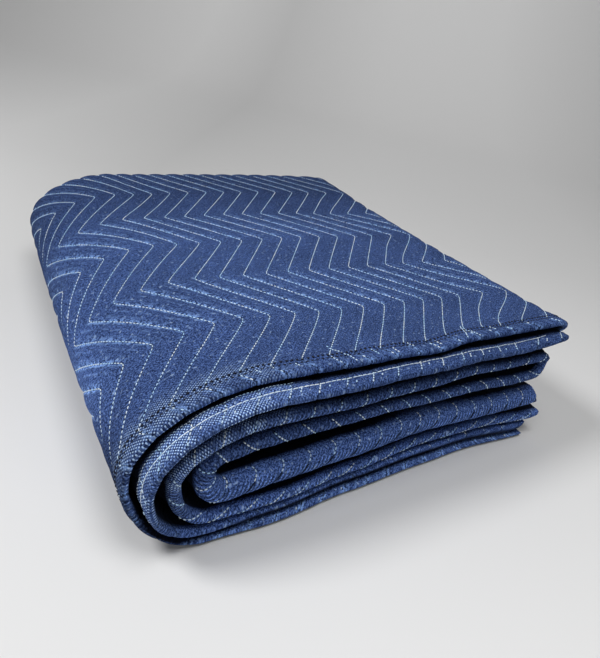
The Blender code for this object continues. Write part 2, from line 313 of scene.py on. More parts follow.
def strip_middle(v, along):
    """(Y, offset) of the cloth's middle at V along the strip."""
    e = edges_at(along)
    back_y = e["back"] - 1.5 * PITCH
    inner_y = e["back"] - INNER_BACK
    radius = (e["out_off"] - e["in_off"]) / 2 * PITCH
    loop_y = e["loop"] + radius
    half_loop = math.pi * radius / 2
    # hem A's layer
    y = v + (e["a"] - HEM_A_V) * (1 - ease(v, HEM_A_V, HEM_A_TRUE))
    y = y + (back_y - BACK_Y) * ease(v, BACK_TRUE_FROM, BACK_Y - BACK_TRUE_FROM)
    at = y, blend(e["a_off"], -1.5, ease(y, e["a"], HEM_BLEND)) * PITCH
    # outer back fold
    turn = math.pi * (v - BACK_START_V) / (BACK_END_V - BACK_START_V)
    fold = back_y + 1.5 * PITCH * np.sin(turn), -1.5 * PITCH * np.cos(turn)
    at = pick(v > BACK_START_V, fold, at)
    # from the back fold to the loop
    from_loop = v - LOOP_V
    true_out = LOOP_TRUE - half_loop
    part = (v - BACK_END_V) / (LOOP_V - LOOP_TRUE - BACK_END_V)
    run = blend(back_y - loop_y, true_out, np.clip(part, 0, 1))
    run = np.where(from_loop > -LOOP_TRUE, -from_loop - half_loop, run)
    rise = blend(e["out_off"], 1.5, smooth(run / LOOP_BLEND)) * PITCH
    at = pick(v > BACK_END_V, (loop_y + run, rise), at)
    # the loop
    turn = math.pi / 2 + from_loop / np.maximum(radius, 1e-6)
    centre = (e["out_off"] + e["in_off"]) / 2 * PITCH
    fold = loop_y - radius * np.sin(turn), centre + radius * np.cos(turn)
    at = pick(np.abs(from_loop) < half_loop, fold, at)
    # from the loop to the inner back fold
    part = (v - LOOP_V - LOOP_TRUE) / (INNER_START_V - LOOP_V - LOOP_TRUE)
    run = blend(true_out, inner_y - loop_y, np.clip(part, 0, 1))
    run = np.where(from_loop < LOOP_TRUE, from_loop - half_loop, run)
    rise = blend(e["in_off"], 0.5, smooth(run / LOOP_BLEND)) * PITCH
    at = pick(from_loop >= half_loop, (loop_y + run, rise), at)
    # inner back fold
    turn = math.pi * (v - INNER_START_V) / (INNER_END_V - INNER_START_V)
    fold = inner_y + 0.5 * PITCH * np.sin(turn), 0.5 * PITCH * np.cos(turn)
    at = pick(v > INNER_START_V, fold, at)
    # hem B's layer
    run = HEM_B_V - v
    y = inner_y - e["b"] - (HEM_B_V - INNER_END_V)
    y = e["b"] + run + y * smooth(run / HEM_B_TRUE)
    rise = blend(e["b_off"], -0.5, ease(y, e["b"], HEM_BLEND)) * PITCH
    return pick(v > INNER_END_V, (y, rise), at)


HEM_FULLNESS = ((0.0, 0.5), (0.005, 1.0), (0.016, 1.0), (0.024, 0.0))  # depth, fullness
TIP_ROUND = 0.0036  # how far in from an edge the cloth rounds off
PUFF = 0.0004  # how far the cloth swells past the solid between two lines
HEM_PINCH = 0.0006  # how far a line sinks where the hem is turned
FOLD_PUFF = 0.0002  # as PUFF, where the front loop is pressed flat
FOLD_PINCH = 0.22  # and the share it sinks at a line there
FOLD_FLAT = 0.004  # how far each side of the loop the cloth is pressed
SEAM_A = 0.0132  # the double navy seam, from hem A's edge
SEAM_B = 0.0125  # the white seam, from hem B's edge
SEAM_A_WIDTH = 0.0018
SEAM_B_WIDTH = 0.0014
SEAM_SINK = 0.0010


def half_thickness(v, t, along):
    """Half the cloth's thickness: puffs between the lines, turned hems, rounded edges."""
    pinch = groove(line_number(v, t))
    half = CLOTH / 2 + PUFF - GROOVE * pinch
    from_hem = np.minimum(v - HEM_A_V, HEM_B_V - v)
    depth, fullness = np.array(HEM_FULLNESS).T
    full = np.interp(from_hem, depth, fullness)
    half = blend(half, HEM / 2 - HEM_PINCH * pinch, full)
    pressed = (edges_at(along)["fold"] + FOLD_PUFF) * (1 - FOLD_PINCH * pinch)
    half = blend(pressed, half, ease(np.abs(v - LOOP_V), FOLD_FLAT, LOOP_BLEND))
    seam = np.exp(-(((v - HEM_A_V - SEAM_A) / SEAM_A_WIDTH) ** 2))
    seam = seam + np.exp(-(((HEM_B_V - v - SEAM_B) / SEAM_B_WIDTH) ** 2))
    half = half - SEAM_SINK * seam
    from_end = np.minimum(t, PATH_END - t)
    for distance in (from_hem, from_end):
        near = np.clip(distance / TIP_ROUND, 0, 1)
        half = half * np.sqrt(np.clip(1 - (1 - near) ** 2, 0, 1))
    return half


def settle(x, y, z):
    """The pad's uneven loft and leaning sides, as the solid has."""
    back = (y - FRONT) / (MID_BACK - FRONT)
    rightward = ease(x, -0.2, 0.4)
    loft = blend(FRONT_LOFT, blend(BACK_LOFT["left"], BACK_LOFT["right"], rightward), back)
    for centre_x, centre_y, reach, rise in SWELLS:
        loft = loft + rise * smooth(1 - np.hypot(x - centre_x, y - centre_y) / reach)
    lean = LEFT_LEAN * back * np.abs(back) * before(x, -0.03, 0.17)
    lean = lean + RIGHT_LEAN * back * ease(x, 0.02, 0.18)
    push = blend(CORNER_PUSH["front"], CORNER_PUSH["back"], smooth(1.5 * back))
    lean = lean + push * ease(x, 0.14, 0.06) * ease(z, 0.099, 0.027)
    z = np.maximum(z * loft, 0.0)
    return np.stack([x + lean - PAD_CENTRE[0], y - PAD_CENTRE[1], z], axis=-1)


def tip_at(along, off):
    """How far a free end's layers run past their leg."""
    comes = {"lower_mid": smooth(1 - along / 0.6), "bottom": ease(along, 6.4, 0.6)}
    found = np.zeros_like(off)
    for name, reaches in TIPS.items():
        reach = np.full_like(off, reaches[0])
        for index in range(3):
            part = (off - TIP_OFFSETS[index]) / (TIP_OFFSETS[index + 1] - TIP_OFFSETS[index])
            reach = reach + (reaches[index + 1] - reaches[index]) * smooth(part)
        found = found + comes[name] * reach
    return found


SLOPE_STEP = 0.0004  # V over which the strip's slope is measured


def on_strip(v, t, side, lift=0.0):
    """(Y, offset, along) of one face of the cloth. Side -1 is the pad's outer face."""
    v, t, side = np.broadcast_arrays(np.asarray(v, float), np.clip(t, 0.0, PATH_END), side)
    along = along_at(t)
    y, off = strip_middle(v, along)
    y0, off0 = strip_middle(v - SLOPE_STEP, along)
    y1, off1 = strip_middle(v + SLOPE_STEP, along)
    dy, doff = y1 - y0, off1 - off0
    length = np.maximum(np.hypot(dy, doff), 1e-9)
    half = half_thickness(v, t, along) + lift
    return y - side * half * doff / length, off + side * half * dy / length, along


def on_cloth(v, t, side, lift=0.0):
    """Points of one face of the cloth, in the shared frame."""
    t = np.clip(t, 0.0, PATH_END)
    y, off, along = on_strip(v, t, side, lift)
    heading = heading_at(t)
    x = np.interp(t, PATH_T, PATH_X) + tip_at(along, off)
    z = np.interp(t, PATH_T, PATH_Z)
    return settle(x - np.sin(heading) * off, y, z + np.cos(heading) * off)


# ---- the cloth's state: painted shade between its layers, painted highlights, painted light, and its ribs
# Painted shade between the layers: the edge beside each gap, and how far inside it the painted
# shade begins. Under faces down on the top leg, and the bottom leg has its own.
GAP_MOUTHS = {
    "under_a": ("a", 0.0015), "over_a": ("a", 0.0020), "under_b": ("b", 0.0018),
    "over_b": ("a", -0.0016), "in_loop": ("loop", 0.0010), "round_loop": ("loop", 0.0016),
    "bottom_under_a": ("b", 0.0010), "bottom_b": ("b", 0.0014), "bottom_loop": ("loop", 0.0014),
}
LOOP_DARK = 0.65  # of the loop's radius, where its outer face gets dark
GAP_DARKENS = 0.0032  # over this depth
OPEN_BACK = (0.10, 0.08)  # Y from which the back is in the open, and the reach it takes
NEVER_DARK = 2.0  # moves the dark of the top's outer face past the pad's back
TOP_COMES, BOTTOM_COMES = (2.85, 0.15), (5.6, 0.3)  # along the path, each with its reach


def gap_shade_depth(v, t, side):
    """How deep a face lies between two layers, for its painted shade: 0 in the open, 1 well
    inside.
    """
    y, _, along = on_strip(v, t, side)
    e = edges_at(along)
    mouths = {name: e[edge] + inside for name, (edge, inside) in GAP_MOUTHS.items()}
    below = ease(along, *BOTTOM_COMES)
    under_a = blend(mouths["under_a"], mouths["bottom_under_a"], below)
    over_a = mouths["over_a"] + NEVER_DARK * ease(along, *TOP_COMES)
    lowest = np.maximum(mouths["bottom_b"], mouths["bottom_loop"])
    under_b = blend(mouths["under_b"], lowest, below)
    round_loop = mouths["round_loop"] + LOOP_DARK * (e["out_off"] - e["in_off"]) / 2 * PITCH
    loop = np.where(side > 0, mouths["in_loop"], round_loop)
    mouth = np.where(v < BACK_START_V, np.where(side > 0, under_a, over_a), loop)
    mouth = np.where(v > INNER_END_V, np.where(side > 0, mouths["over_b"], under_b), mouth)
    return ease(y, mouth, GAP_DARKENS) * (1 - ease(y, *OPEN_BACK))


# Painted highlight on the left fold's front: where it lies along the path, and how deep
HIGHLIGHT_COMES, HIGHLIGHT_GOES = (4.88, 0.25), (5.45, 0.35)
HIGHLIGHT_A = (0.013, 0.022)  # the depth that takes the painted highlight, and the reach it ends over
HIGHLIGHT_B = (0.022, 0.030)
HIGHLIGHT_LOOP = (0.016, 0.030)


def painted_fold_highlight(v, t):
    """Where a highlight is painted on the folds: the left fold's front, on the hems and the loop.
    """
    on_a = 1 - ease(v - HEM_A_V, *HIGHLIGHT_A)
    on_b = 1 - ease(HEM_B_V - v, *HIGHLIGHT_B)
    on_loop = 1 - ease(np.abs(v - LOOP_V), *HIGHLIGHT_LOOP)
    return between(along_at(t), HIGHLIGHT_COMES, HIGHLIGHT_GOES) * np.maximum(np.maximum(on_a, on_b), on_loop)


RIB_START = {"lower_mid": 0.0050, "others": 0.0016}  # this far over the loop's middle
RIB_COMES, RIB_GOES = (0.0, 0.002), (0.035, 0.010)


def ribbed(v, along):
    """Where the twill's ribs stand out: under the loop, on the side that faces down."""
    down = np.where((along > 1.5) & (along < 3.5) | (along > 5.5), 1.0, -1.0)
    start = np.where(along < 1.2, RIB_START["lower_mid"], RIB_START["others"])
    return between((v - LOOP_V) * down + start, RIB_COMES, RIB_GOES)


# Painted light and shade on the cloth's tones: painted shade at the back, underneath and on the
# bottom leg, painted light on the left fold and on the front bands at the left fold, the bottom
# leg and the lower middle leg. The pairs in brackets are each a place along the path and its
# reach.
TOP_TONE, BACK_SHADE = 0.85, 0.42
LEFT_LIGHT, LEFT_COMES, LEFT_GOES = 0.50, (5.31, 0.16), (5.56, 0.2)
UNDER_SHADE, UNDER_COMES = 0.50, (5.38, 0.2)
BOTTOM_SHADE, BOTTOM_SHADE_FROM = 0.30, (5.62, 0.2)
HEM_TONE = 0.82
TURNED_LIGHT, TURNED_COMES, TURNED_GOES = 0.34, (4.75, 0.3), (5.5, 0.2)
BOTTOM_HEM_LIGHT, BOTTOM_HEM_COMES = 0.62, (5.75, 0.2)
PILLOW_LIGHT, PILLOW_GOES = 0.52, (1.3, 0.3)


def painted_light_and_shade(v, along, side):
    """The tone, with painted shade at the back and below, painted light on the left fold and
    bands.
    """
    # painted shade towards the back, and painted light on the left fold's outer face
    back_shade = 1.0 - BACK_SHADE * ease(v, 0.01, 0.20)
    left = between(along, LEFT_COMES, LEFT_GOES)
    pale = TOP_TONE + LEFT_LIGHT * left * before(v, 0.02, 0.12) * ease(v, -0.21, 0.05)
    # painted shade underneath and on the bottom leg
    under = 1.0 - UNDER_SHADE * ease(along, *UNDER_COMES) * before(v, -0.13, 0.06)
    under = under * (1.0 - BOTTOM_SHADE * ease(along, *BOTTOM_SHADE_FROM))
    # painted light on the front bands at the left fold, the bottom leg and the lower middle leg
    turned = between(along, TURNED_COMES, TURNED_GOES)
    hems = HEM_TONE + TURNED_LIGHT * turned + BOTTOM_HEM_LIGHT * ease(along, *BOTTOM_HEM_COMES)
    hems = hems + PILLOW_LIGHT * (1 - ease(along, *PILLOW_GOES))
    return np.where((side < 0) & (v < BACK_END_V), back_shade * pale * under, hems)


# ---- the cloth's mesh
# Rows, as depths from a hem's edge, depths each side of the loop, and parts of a half period
HEM_ROWS = (
    0.0, 0.0003, 0.001, 0.002, 0.0034, 0.005, 0.0066, 0.0082, 0.01, 0.0114, 0.0124,
    0.0132, 0.014, 0.015, 0.0168, 0.0192, 0.022, 0.025, 0.03, 0.042, 0.056, 0.072, 0.090,
)
PLAIN_HEM_ROWS = {0.0, 0.001, 0.0034, 0.0082, 0.0132, 0.0192, 0.03, 0.042, 0.056, 0.072, 0.090}
LOOP_ROWS = (
    0.0, 0.0018, 0.0036, 0.0056, 0.0078, 0.0102, 0.013, 0.0162, 0.02, 0.0245, 0.03,
    0.037, 0.046, 0.057, 0.07, 0.086, 0.105,
)
QUILT_ROWS = (0.0, 0.02, 0.06, 0.14, 0.28, 0.43, 0.57, 0.72, 0.86, 0.94, 0.98)
QUILT_LOW, QUILT_HIGH = HEM_A_V + 0.032, BACK_START_V - 0.003
# Plain or hidden stretches: from V, to V, rows
PLAIN_STRETCHES = (
    (HEM_A_V + 0.15, BACK_START_V - 0.030, 5),
    (BACK_START_V - 0.012, BACK_END_V + 0.012, 13),
    (BACK_END_V + 0.035, LOOP_V - 0.13, 5),
    (LOOP_V + 0.14, INNER_START_V - 0.02, 5),
    (INNER_START_V - 0.004, INNER_END_V + 0.004, 8),
    (INNER_END_V + 0.03, HEM_B_V - 0.14, 5),
)
# Columns, as parts of the way from one stitched line to the next
FINE_COLUMNS = (0.0, 0.06, 0.16, 0.31, 0.50, 0.69, 0.84, 0.94)
PLAIN_COLUMNS = (0.0, 0.13, 0.50, 0.87)
FINE_ALONG = (2.9, 6.03)  # the right fold, the top and the left fold
TIP_COLUMNS = (0.0, 0.0004, 0.0011, 0.0021, 0.0036, 0.0060, 0.0095)  # T from a free end
TIP_REACH = 0.014
TIP_STEPS = 9


def main_rows():
    """The ring of rows, in order: the V and side of each, and whether plain legs have it."""
    shared = []  # (V, fine legs only)
    for depth in HEM_ROWS:
        shared += [(v, depth not in PLAIN_HEM_ROWS) for v in (HEM_A_V + depth, HEM_B_V - depth)]
    for depth in LOOP_ROWS:
        shared += [(LOOP_V + depth, False), (LOOP_V - depth, False)]
    for low, high, count in PLAIN_STRETCHES:
        shared += [(v, False) for v in np.linspace(low, high, count)]
    shared = sorted(set(shared))
    # A hem's extra rows are on its shown face alone.
    plus = [(v, 1.0, not fine) for v, fine in shared if not fine or v > 0]
    minus = {v: (v, -1.0, not fine) for v, fine in shared if not fine or v < LOOP_V + 0.1}
    first_turn = ROW_ZERO - 6 * HALF_PERIOD
    for half_period in range(9):
        for part in QUILT_ROWS:
            v = first_turn + (half_period + part) * HALF_PERIOD
            if QUILT_LOW < v < QUILT_HIGH:
                minus.setdefault(v, (v, -1.0, False))
    minus = [minus[v] for v in sorted(minus)]
    return plus, minus[1:-1][::-1]


def mesh_swing(v):
    """How the columns swing: with the zigzag where the cloth shows, and not at all elsewhere."""
    shown = before(v, BACK_END_V + 0.06, 0.05)
    shown = np.maximum(shown, before(np.abs(v - LOOP_V), 0.105, 0.06))
    shown = np.maximum(shown, ease(v, HEM_B_V - 0.09, 0.05))
    return blend(0.5, zigzag(v), shown)


def column_numbers():
    """The line numbers of the columns, which fall along the path, and which are fine."""
    first = round(line_number(HEM_A_V + 0.1, 0.0) + 4)
    last = round(line_number(HEM_A_V + 0.1, PATH_END) - 4)
    t_from, t_to = (t_at(along) for along in FINE_ALONG)
    fine_from = math.ceil(line_number(ROW_ZERO - HALF_PERIOD, t_from))
    fine_to = math.floor(line_number(ROW_ZERO, t_to))
    columns = []
    for whole in range(first, last - 1, -1):
        fine = fine_to <= whole <= fine_from
        columns += [(whole - part, fine) for part in (FINE_COLUMNS if fine else PLAIN_COLUMNS)]
    return (np.array(column) for column in zip(*columns))


def cloth_grid():
    """Rows with their V, side and whether plain legs have them, and columns with their T."""
    plus, minus = main_rows()
    v, side, in_plain = (np.array(column) for column in zip(*(plus + minus)))
    inner_face = (side > 0) & (v < BACK_START_V) & (v > HEM_A_V + 0.05)
    swing = np.where(inner_face, 0.5, mesh_swing(v))
    numbers, fine = column_numbers()
    own = TOP_START_T + TOP_START_X - ((numbers[None, :] - LINE_ZERO) * SPACING)
    own = own + REACH * swing[:, None]
    off = even_offset(v)
    t = np.empty_like(own)
    for index in range(len(v)):
        reach = PATH_T - off[index] * (PATH_HEADING - math.pi)
        reach = np.maximum.accumulate(reach)
        t[index] = np.interp(own[index], reach, PATH_T, left=-1.0, right=PATH_END + 1.0)
    keep = (t.min(axis=0) > TIP_REACH) & (t.max(axis=0) < PATH_END - TIP_REACH)
    t, fine = t[:, keep], fine[keep]
    tips = np.tile(np.array(TIP_COLUMNS), (len(v), 1))
    into = np.linspace(0, 1, TIP_STEPS)[None, 1:-1]
    first = tips[:, -1:] + (t[:, :1] - tips[:, -1:]) * into
    last = PATH_END - tips[:, -1:]
    last = last - (last - t[:, -1:]) * into
    t = np.concatenate([tips, first, t, last[:, ::-1], PATH_END - tips[:, ::-1]], axis=1)
    ends = np.zeros(tips.shape[1] + into.shape[1], bool)
    return v, side, in_plain, t, np.concatenate([ends, fine, ends])


def strip_faces(index, rings, j):
    """Faces between two columns: quads, and wider ones where a fine leg meets a plain one."""
    here, after = rings[j], rings[j + 1]
    if len(here) == len(after):
        a, b = index[here, j], index[here, j + 1]
        return np.stack([a, b, np.roll(b, -1), np.roll(a, -1)], axis=1).tolist()
    few, many, few_j, many_j = here, after, j, j + 1
    if len(here) > len(after):
        few, many, few_j, many_j = after, here, j + 1, j
    faces = []
    for low, high in zip(few, np.roll(few, -1)):
        if high > low:
            spanned = many[(many >= low) & (many <= high)]
        else:
            spanned = np.concatenate([many[many >= low], many[many <= high]])
        face = [index[low, few_j]] + index[spanned, many_j].tolist() + [index[high, few_j]]
        faces.append(face if few_j < many_j else face[::-1])
    return faces


def end_faces(index, ring, side, j, flip):
    """Faces that close a free end, from one side's rows to the other's."""
    faces = []
    count = len(ring)
    plus_rows = int((side[ring] > 0).sum())
    for k in range(plus_rows - 1):
        mirror, mirror_next = (count - k) % count, (count - k - 1) % count
        face = [index[ring[k], j], index[ring[k + 1], j]]
        if mirror_next != k + 1:
            face.append(index[ring[mirror_next], j])
        if mirror != k:
            face.append(index[ring[mirror], j])
        faces.append(face if not flip else face[::-1])
    return faces


def add_attribute(thing, name, values):
    kind, field = ("FLOAT", "value") if values.ndim == 1 else ("FLOAT_VECTOR", "vector")
    made = thing.data.attributes.new(name, kind, "POINT")
    made.data.foreach_set(field, values.ravel())


def add_object(name, mesh):
    thing = bpy.data.objects.new(name, mesh)
    bpy.context.scene.collection.objects.link(thing)
    return thing


def add_mesh(name, points, faces):
    mesh = bpy.data.meshes.new(name)
    mesh.from_pydata(np.asarray(points).tolist(), [], faces)
    mesh.update()
    mesh.shade_smooth()
    return add_object(name, mesh)


def build_cloth():
    v, side, in_plain, t, fine = cloth_grid()
    rows, columns = t.shape
    present = in_plain[:, None] | fine[None, :]
    order = np.argwhere(present.T)
    at = (order[:, 1], order[:, 0])
    index = np.full((rows, columns), -1, np.int64)
    index[at] = np.arange(len(order))
    points = on_cloth(v[:, None], t, side[:, None])[at]
    rings = [np.flatnonzero(present[:, j]) for j in range(columns)]
    faces = []
    for j in range(columns - 1):
        faces += strip_faces(index, rings, j)
    faces += end_faces(index, rings[0], side, 0, False)
    faces += end_faces(index, rings[-1], side, columns - 1, True)
    blanket = add_mesh("folded_blanket", points, faces)
    own_t, own_v, own_side = t[at], v[at[0]], side[at[0]]
    along = along_at(own_t)
    number = line_number(v[:, None], t)[at]
    # painted shade between the layers, painted fold highlight, painted light and shade on the
    # tones
    state = (gap_shade_depth(own_v, own_t, own_side), painted_fold_highlight(own_v, own_t), painted_light_and_shade(own_v, along, own_side))
    add_attribute(blanket, "sheet", np.stack([own_t, own_v, number], axis=1))
    add_attribute(blanket, "use", np.stack(state, axis=1))
    add_attribute(blanket, "ribbed", ribbed(own_v, along))
    return blanket


# ---- stitches
QUILTING_STITCH = (0.0036, 0.84)  # pitch, and the share of it that is thread
QUILTING_STEP = 0.0006  # V from point to point of a line
NARROW = 0.1  # a stretch narrower than this stops where it runs into a gap
DARKEST = 0.6  # gap depth of the last stitch
SHORTEST = 6  # points of the shortest run

# Stretches of quilting: V and along from and to, the face, the share of stitches kept, and
# how far the lines are shifted, in lines
Stretch = namedtuple("Stretch", "v_low v_high side start stop keep shift")
TOP_STRETCHES = ((HEM_A_V + SEAM_A, BACK_START_V, -1.0, 2.97, 6.10, 1.0, 0.0),)
EDGE_STRETCHES = (
    (BACK_START_V, BACK_END_V + 0.012, -1.0, 0.03, 6.97, 1.0, 0.0),
    (LOOP_V + 0.0030, LOOP_V + 0.024, -1.0, 0.03, 1.02, 1.0, 0.0),
    (LOOP_V - 0.024, LOOP_V + 0.024, -1.0, 1.04, 5.30, 1.0, 0.0),
    (LOOP_V - 0.004, LOOP_V + 0.004, -1.0, 5.30, 6.97, 1.0, 0.0),
    (HEM_A_V + 0.0004, HEM_A_V + 0.0045, 1.0, 5.75, 6.97, 0.8, 0.2),
    (HEM_B_V - 0.030, HEM_B_V - 0.0015, 1.0, 3.6, 6.97, 1.0, 0.0),
    (HEM_B_V - 0.012, HEM_B_V - 0.0015, -1.0, 3.6, 6.97, 1.0, 0.0),
    (HEM_A_V + 0.0015, HEM_A_V + 0.0125, -1.0, 3.6, 6.97, 0.45, 0.0),
    (HEM_B_V - 0.011, HEM_B_V - 0.0030, 1.0, 3.9, 6.97, 0.4, 0.34),
)
# Where the quilting slants over hem A: along, how far in from the edge, and how far it slants
Slant = namedtuple("Slant", "along low high slant")
SLANTS = (
    (4.22, 0.006, 0.017, 0.004), (4.31, 0.001, 0.016, 0.009), (4.37, 0.0008, 0.026, -0.013),
    (4.47, 0.005, 0.015, 0.003), (4.56, 0.006, 0.017, 0.005), (4.63, 0.002, 0.011, 0.003),
    (4.69, 0.003, 0.015, 0.004), (4.765, 0.0006, 0.03, 0.016), (4.82, 0.005, 0.014, 0.003),
    (4.93, 0.006, 0.013, 0.003), (5.03, 0.007, 0.014, 0.003),
)
SLANT_STITCH = (0.0027, 0.86)
# Seams along the hems: V and face, along from and to, a stitch's pitch and share, and the
# seam's drift in V on the left fold
Seam = namedtuple("Seam", "v side start stop pitch share drift")
NAVY_SEAMS = [
    (HEM_A_V + SEAM_A + apart, -1.0, 3.4, 6.9, 0.0046, 0.62, 0.0) for apart in (-0.0022, 0.0022)
]
WHITE_SEAMS = ((HEM_B_V - SEAM_B, 1.0, 4.03, 6.9, 0.0050, 1.22, 0.0010),)
THIN_SEAMS = ((HEM_B_V - SEAM_B - 0.0058, 1.0, 4.95, 5.62, 0.0030, 0.80, 0.0),)
SEAM_WANDER = 0.0003
SEAM_DRIFTS = (4.55, 0.45)
SEED = 7


def unit(vectors):
    return vectors / np.maximum(np.linalg.norm(vectors, axis=-1, keepdims=True), 1e-12)


def cut_dashes(v, t, side, pitch, share, rng):
    """A line on one face, cut into stitches: three points and the normal of each."""
    points, normals = line_on_cloth(v, t, side)
    step = np.linalg.norm(np.diff(points, axis=0), axis=1)
    reach = np.concatenate([[0.0], np.cumsum(step)])
    found = []
    at = pitch * rng.uniform(0, 1)
    while at + pitch * share < reach[-1]:
        marks = np.array([at, at + pitch * share / 2, at + pitch * share])
        spot = np.stack([np.interp(marks, reach, points[:, k]) for k in range(3)], axis=1)
        up = np.array([np.interp(marks[1], reach, normals[:, k]) for k in range(3)])
        found.append((spot, unit(up)))
        at += pitch * rng.uniform(0.9, 1.1)
    return found


def stitch_mesh(name, dashes, width, height, sink):
    """One mesh of rounded stitches, whose ends sink into the cloth."""
    spots, up = (np.array(column) for column in zip(*dashes))
    first, last = spots[:, 0], spots[:, 2]
    along = unit(last - first)
    across = unit(np.cross(up, along))
    up = np.cross(along, across)
    points = [first - up * sink]
    for part in (0.25, 0.75):
        centre = first * (1 - part) + last * part
        for a, b in ((1, 0), (0, 1), (-1, 0), (0, -1)):
            points.append(centre + across * a * width / 2 + up * (b * height / 2 + height * 0.15))
    points.append(last - up * sink)
    points = np.stack(points, axis=1)
    shape = []
    for k in range(4):
        n = (k + 1) % 4
        shape += [(0, 1 + n, 1 + k), (9, 5 + k, 5 + n), (1 + k, 1 + n, 5 + n, 5 + k)]
    faces = []
    base = np.arange(len(dashes)) * points.shape[1]
    for face in shape:
        faces += (base[:, None] + np.array(face)[None, :]).tolist()
    return add_mesh(name, points.reshape(-1, 3), faces)


def line_on_cloth(v, t, side):
    """Points and outward normals of a line drawn on one face."""
    points = on_cloth(v, t, side)
    step = 0.0005
    dv = on_cloth(v + step, t, side) - on_cloth(v - step, t, side)
    dt = on_cloth(v, t + step, side) - on_cloth(v, t - step, side)
    normal = np.cross(dt, dv)
    out = on_cloth(v, t, side, 0.001) - points
    sign = np.sign((normal * out).sum(axis=1, keepdims=True))
    return points, unit(normal * np.where(sign == 0, 1, sign))


def quilting_dashes(stretch, rng):
    """Stitches of every zigzag line in one stretch."""
    row = Stretch(*stretch)
    t_low, t_high = t_at(row.start), t_at(row.stop)
    v = np.arange(row.v_low, row.v_high, QUILTING_STEP)
    highest = line_number(v, t_low).max()
    lowest = line_number(v, t_high).min()
    dashes = []
    for number in range(math.ceil(lowest), math.floor(highest) + 1):
        t = t_of_line(v, float(number) + row.shift)
        inside = (t > t_low) & (t < t_high)
        if row.v_high - row.v_low < NARROW:
            inside &= gap_shade_depth(v, t, row.side) < DARKEST
        for run in np.split(np.arange(len(v)), np.flatnonzero(np.diff(inside.astype(int))) + 1):
            if len(run) < SHORTEST or not inside[run[0]]:
                continue
            for dash in cut_dashes(v[run], t[run], row.side, *QUILTING_STITCH, rng):
                if row.keep >= 1.0 or rng.uniform() < row.keep:
                    dashes.append(dash)
    return dashes


def slanted_dashes(slant, rng):
    """A short slanting run of stitches over hem A."""
    row = Slant(*slant)
    v = np.arange(HEM_A_V + row.low, HEM_A_V + row.high, QUILTING_STEP)
    part = (v - v[0]) / (v[-1] - v[0])
    t = t_at(row.along) + row.slant * part
    t = t + 0.0008 * np.sin((v - v[0]) * 420.0)
    return cut_dashes(v, t, -1.0, *SLANT_STITCH, rng)


def seam_dashes(seam, rng):
    """A seam along the path at one V, which wanders a little."""
    row = Seam(*seam)
    t = np.arange(t_at(row.start), t_at(row.stop), 0.001)
    v = row.v + SEAM_WANDER * np.sin(t * 61.0) + SEAM_WANDER * 0.6 * np.sin(t * 143.0 + 1.0)
    v = v + row.drift * ease(along_at(t), *SEAM_DRIFTS)
    return cut_dashes(v, t, row.side, row.pitch, row.share, rng)


def build_stitches():
    rng = np.random.default_rng(SEED)

    def sewn(name, size, *kinds):
        dashes = [dash for sew, rows in kinds for row in rows for dash in sew(row, rng)]
        return stitch_mesh(name, dashes, *size)

    edges = (quilting_dashes, EDGE_STRETCHES), (slanted_dashes, SLANTS)
    return (
        sewn("quilting_stitches", (0.0011, 0.0010, 0.0002), (quilting_dashes, TOP_STRETCHES)),
        sewn("edge_stitches", (0.0012, 0.0010, 0.0002), *edges),
        sewn("hem_seam_dark", (0.0016, 0.0009, 0.0001), (seam_dashes, NAVY_SEAMS)),
        sewn("hem_seam_white", (0.0010, 0.0010, 0.0002), (seam_dashes, WHITE_SEAMS)),
        sewn("hem_edge_stitches", (0.0006, 0.0006, 0.0001), (seam_dashes, THIN_SEAMS)),
    )


# ---- materials
MIX_FACTOR, MIX_UNDER, MIX_OVER, MIX_RESULT = 0, 6, 7, 2  # sockets of a colour mix


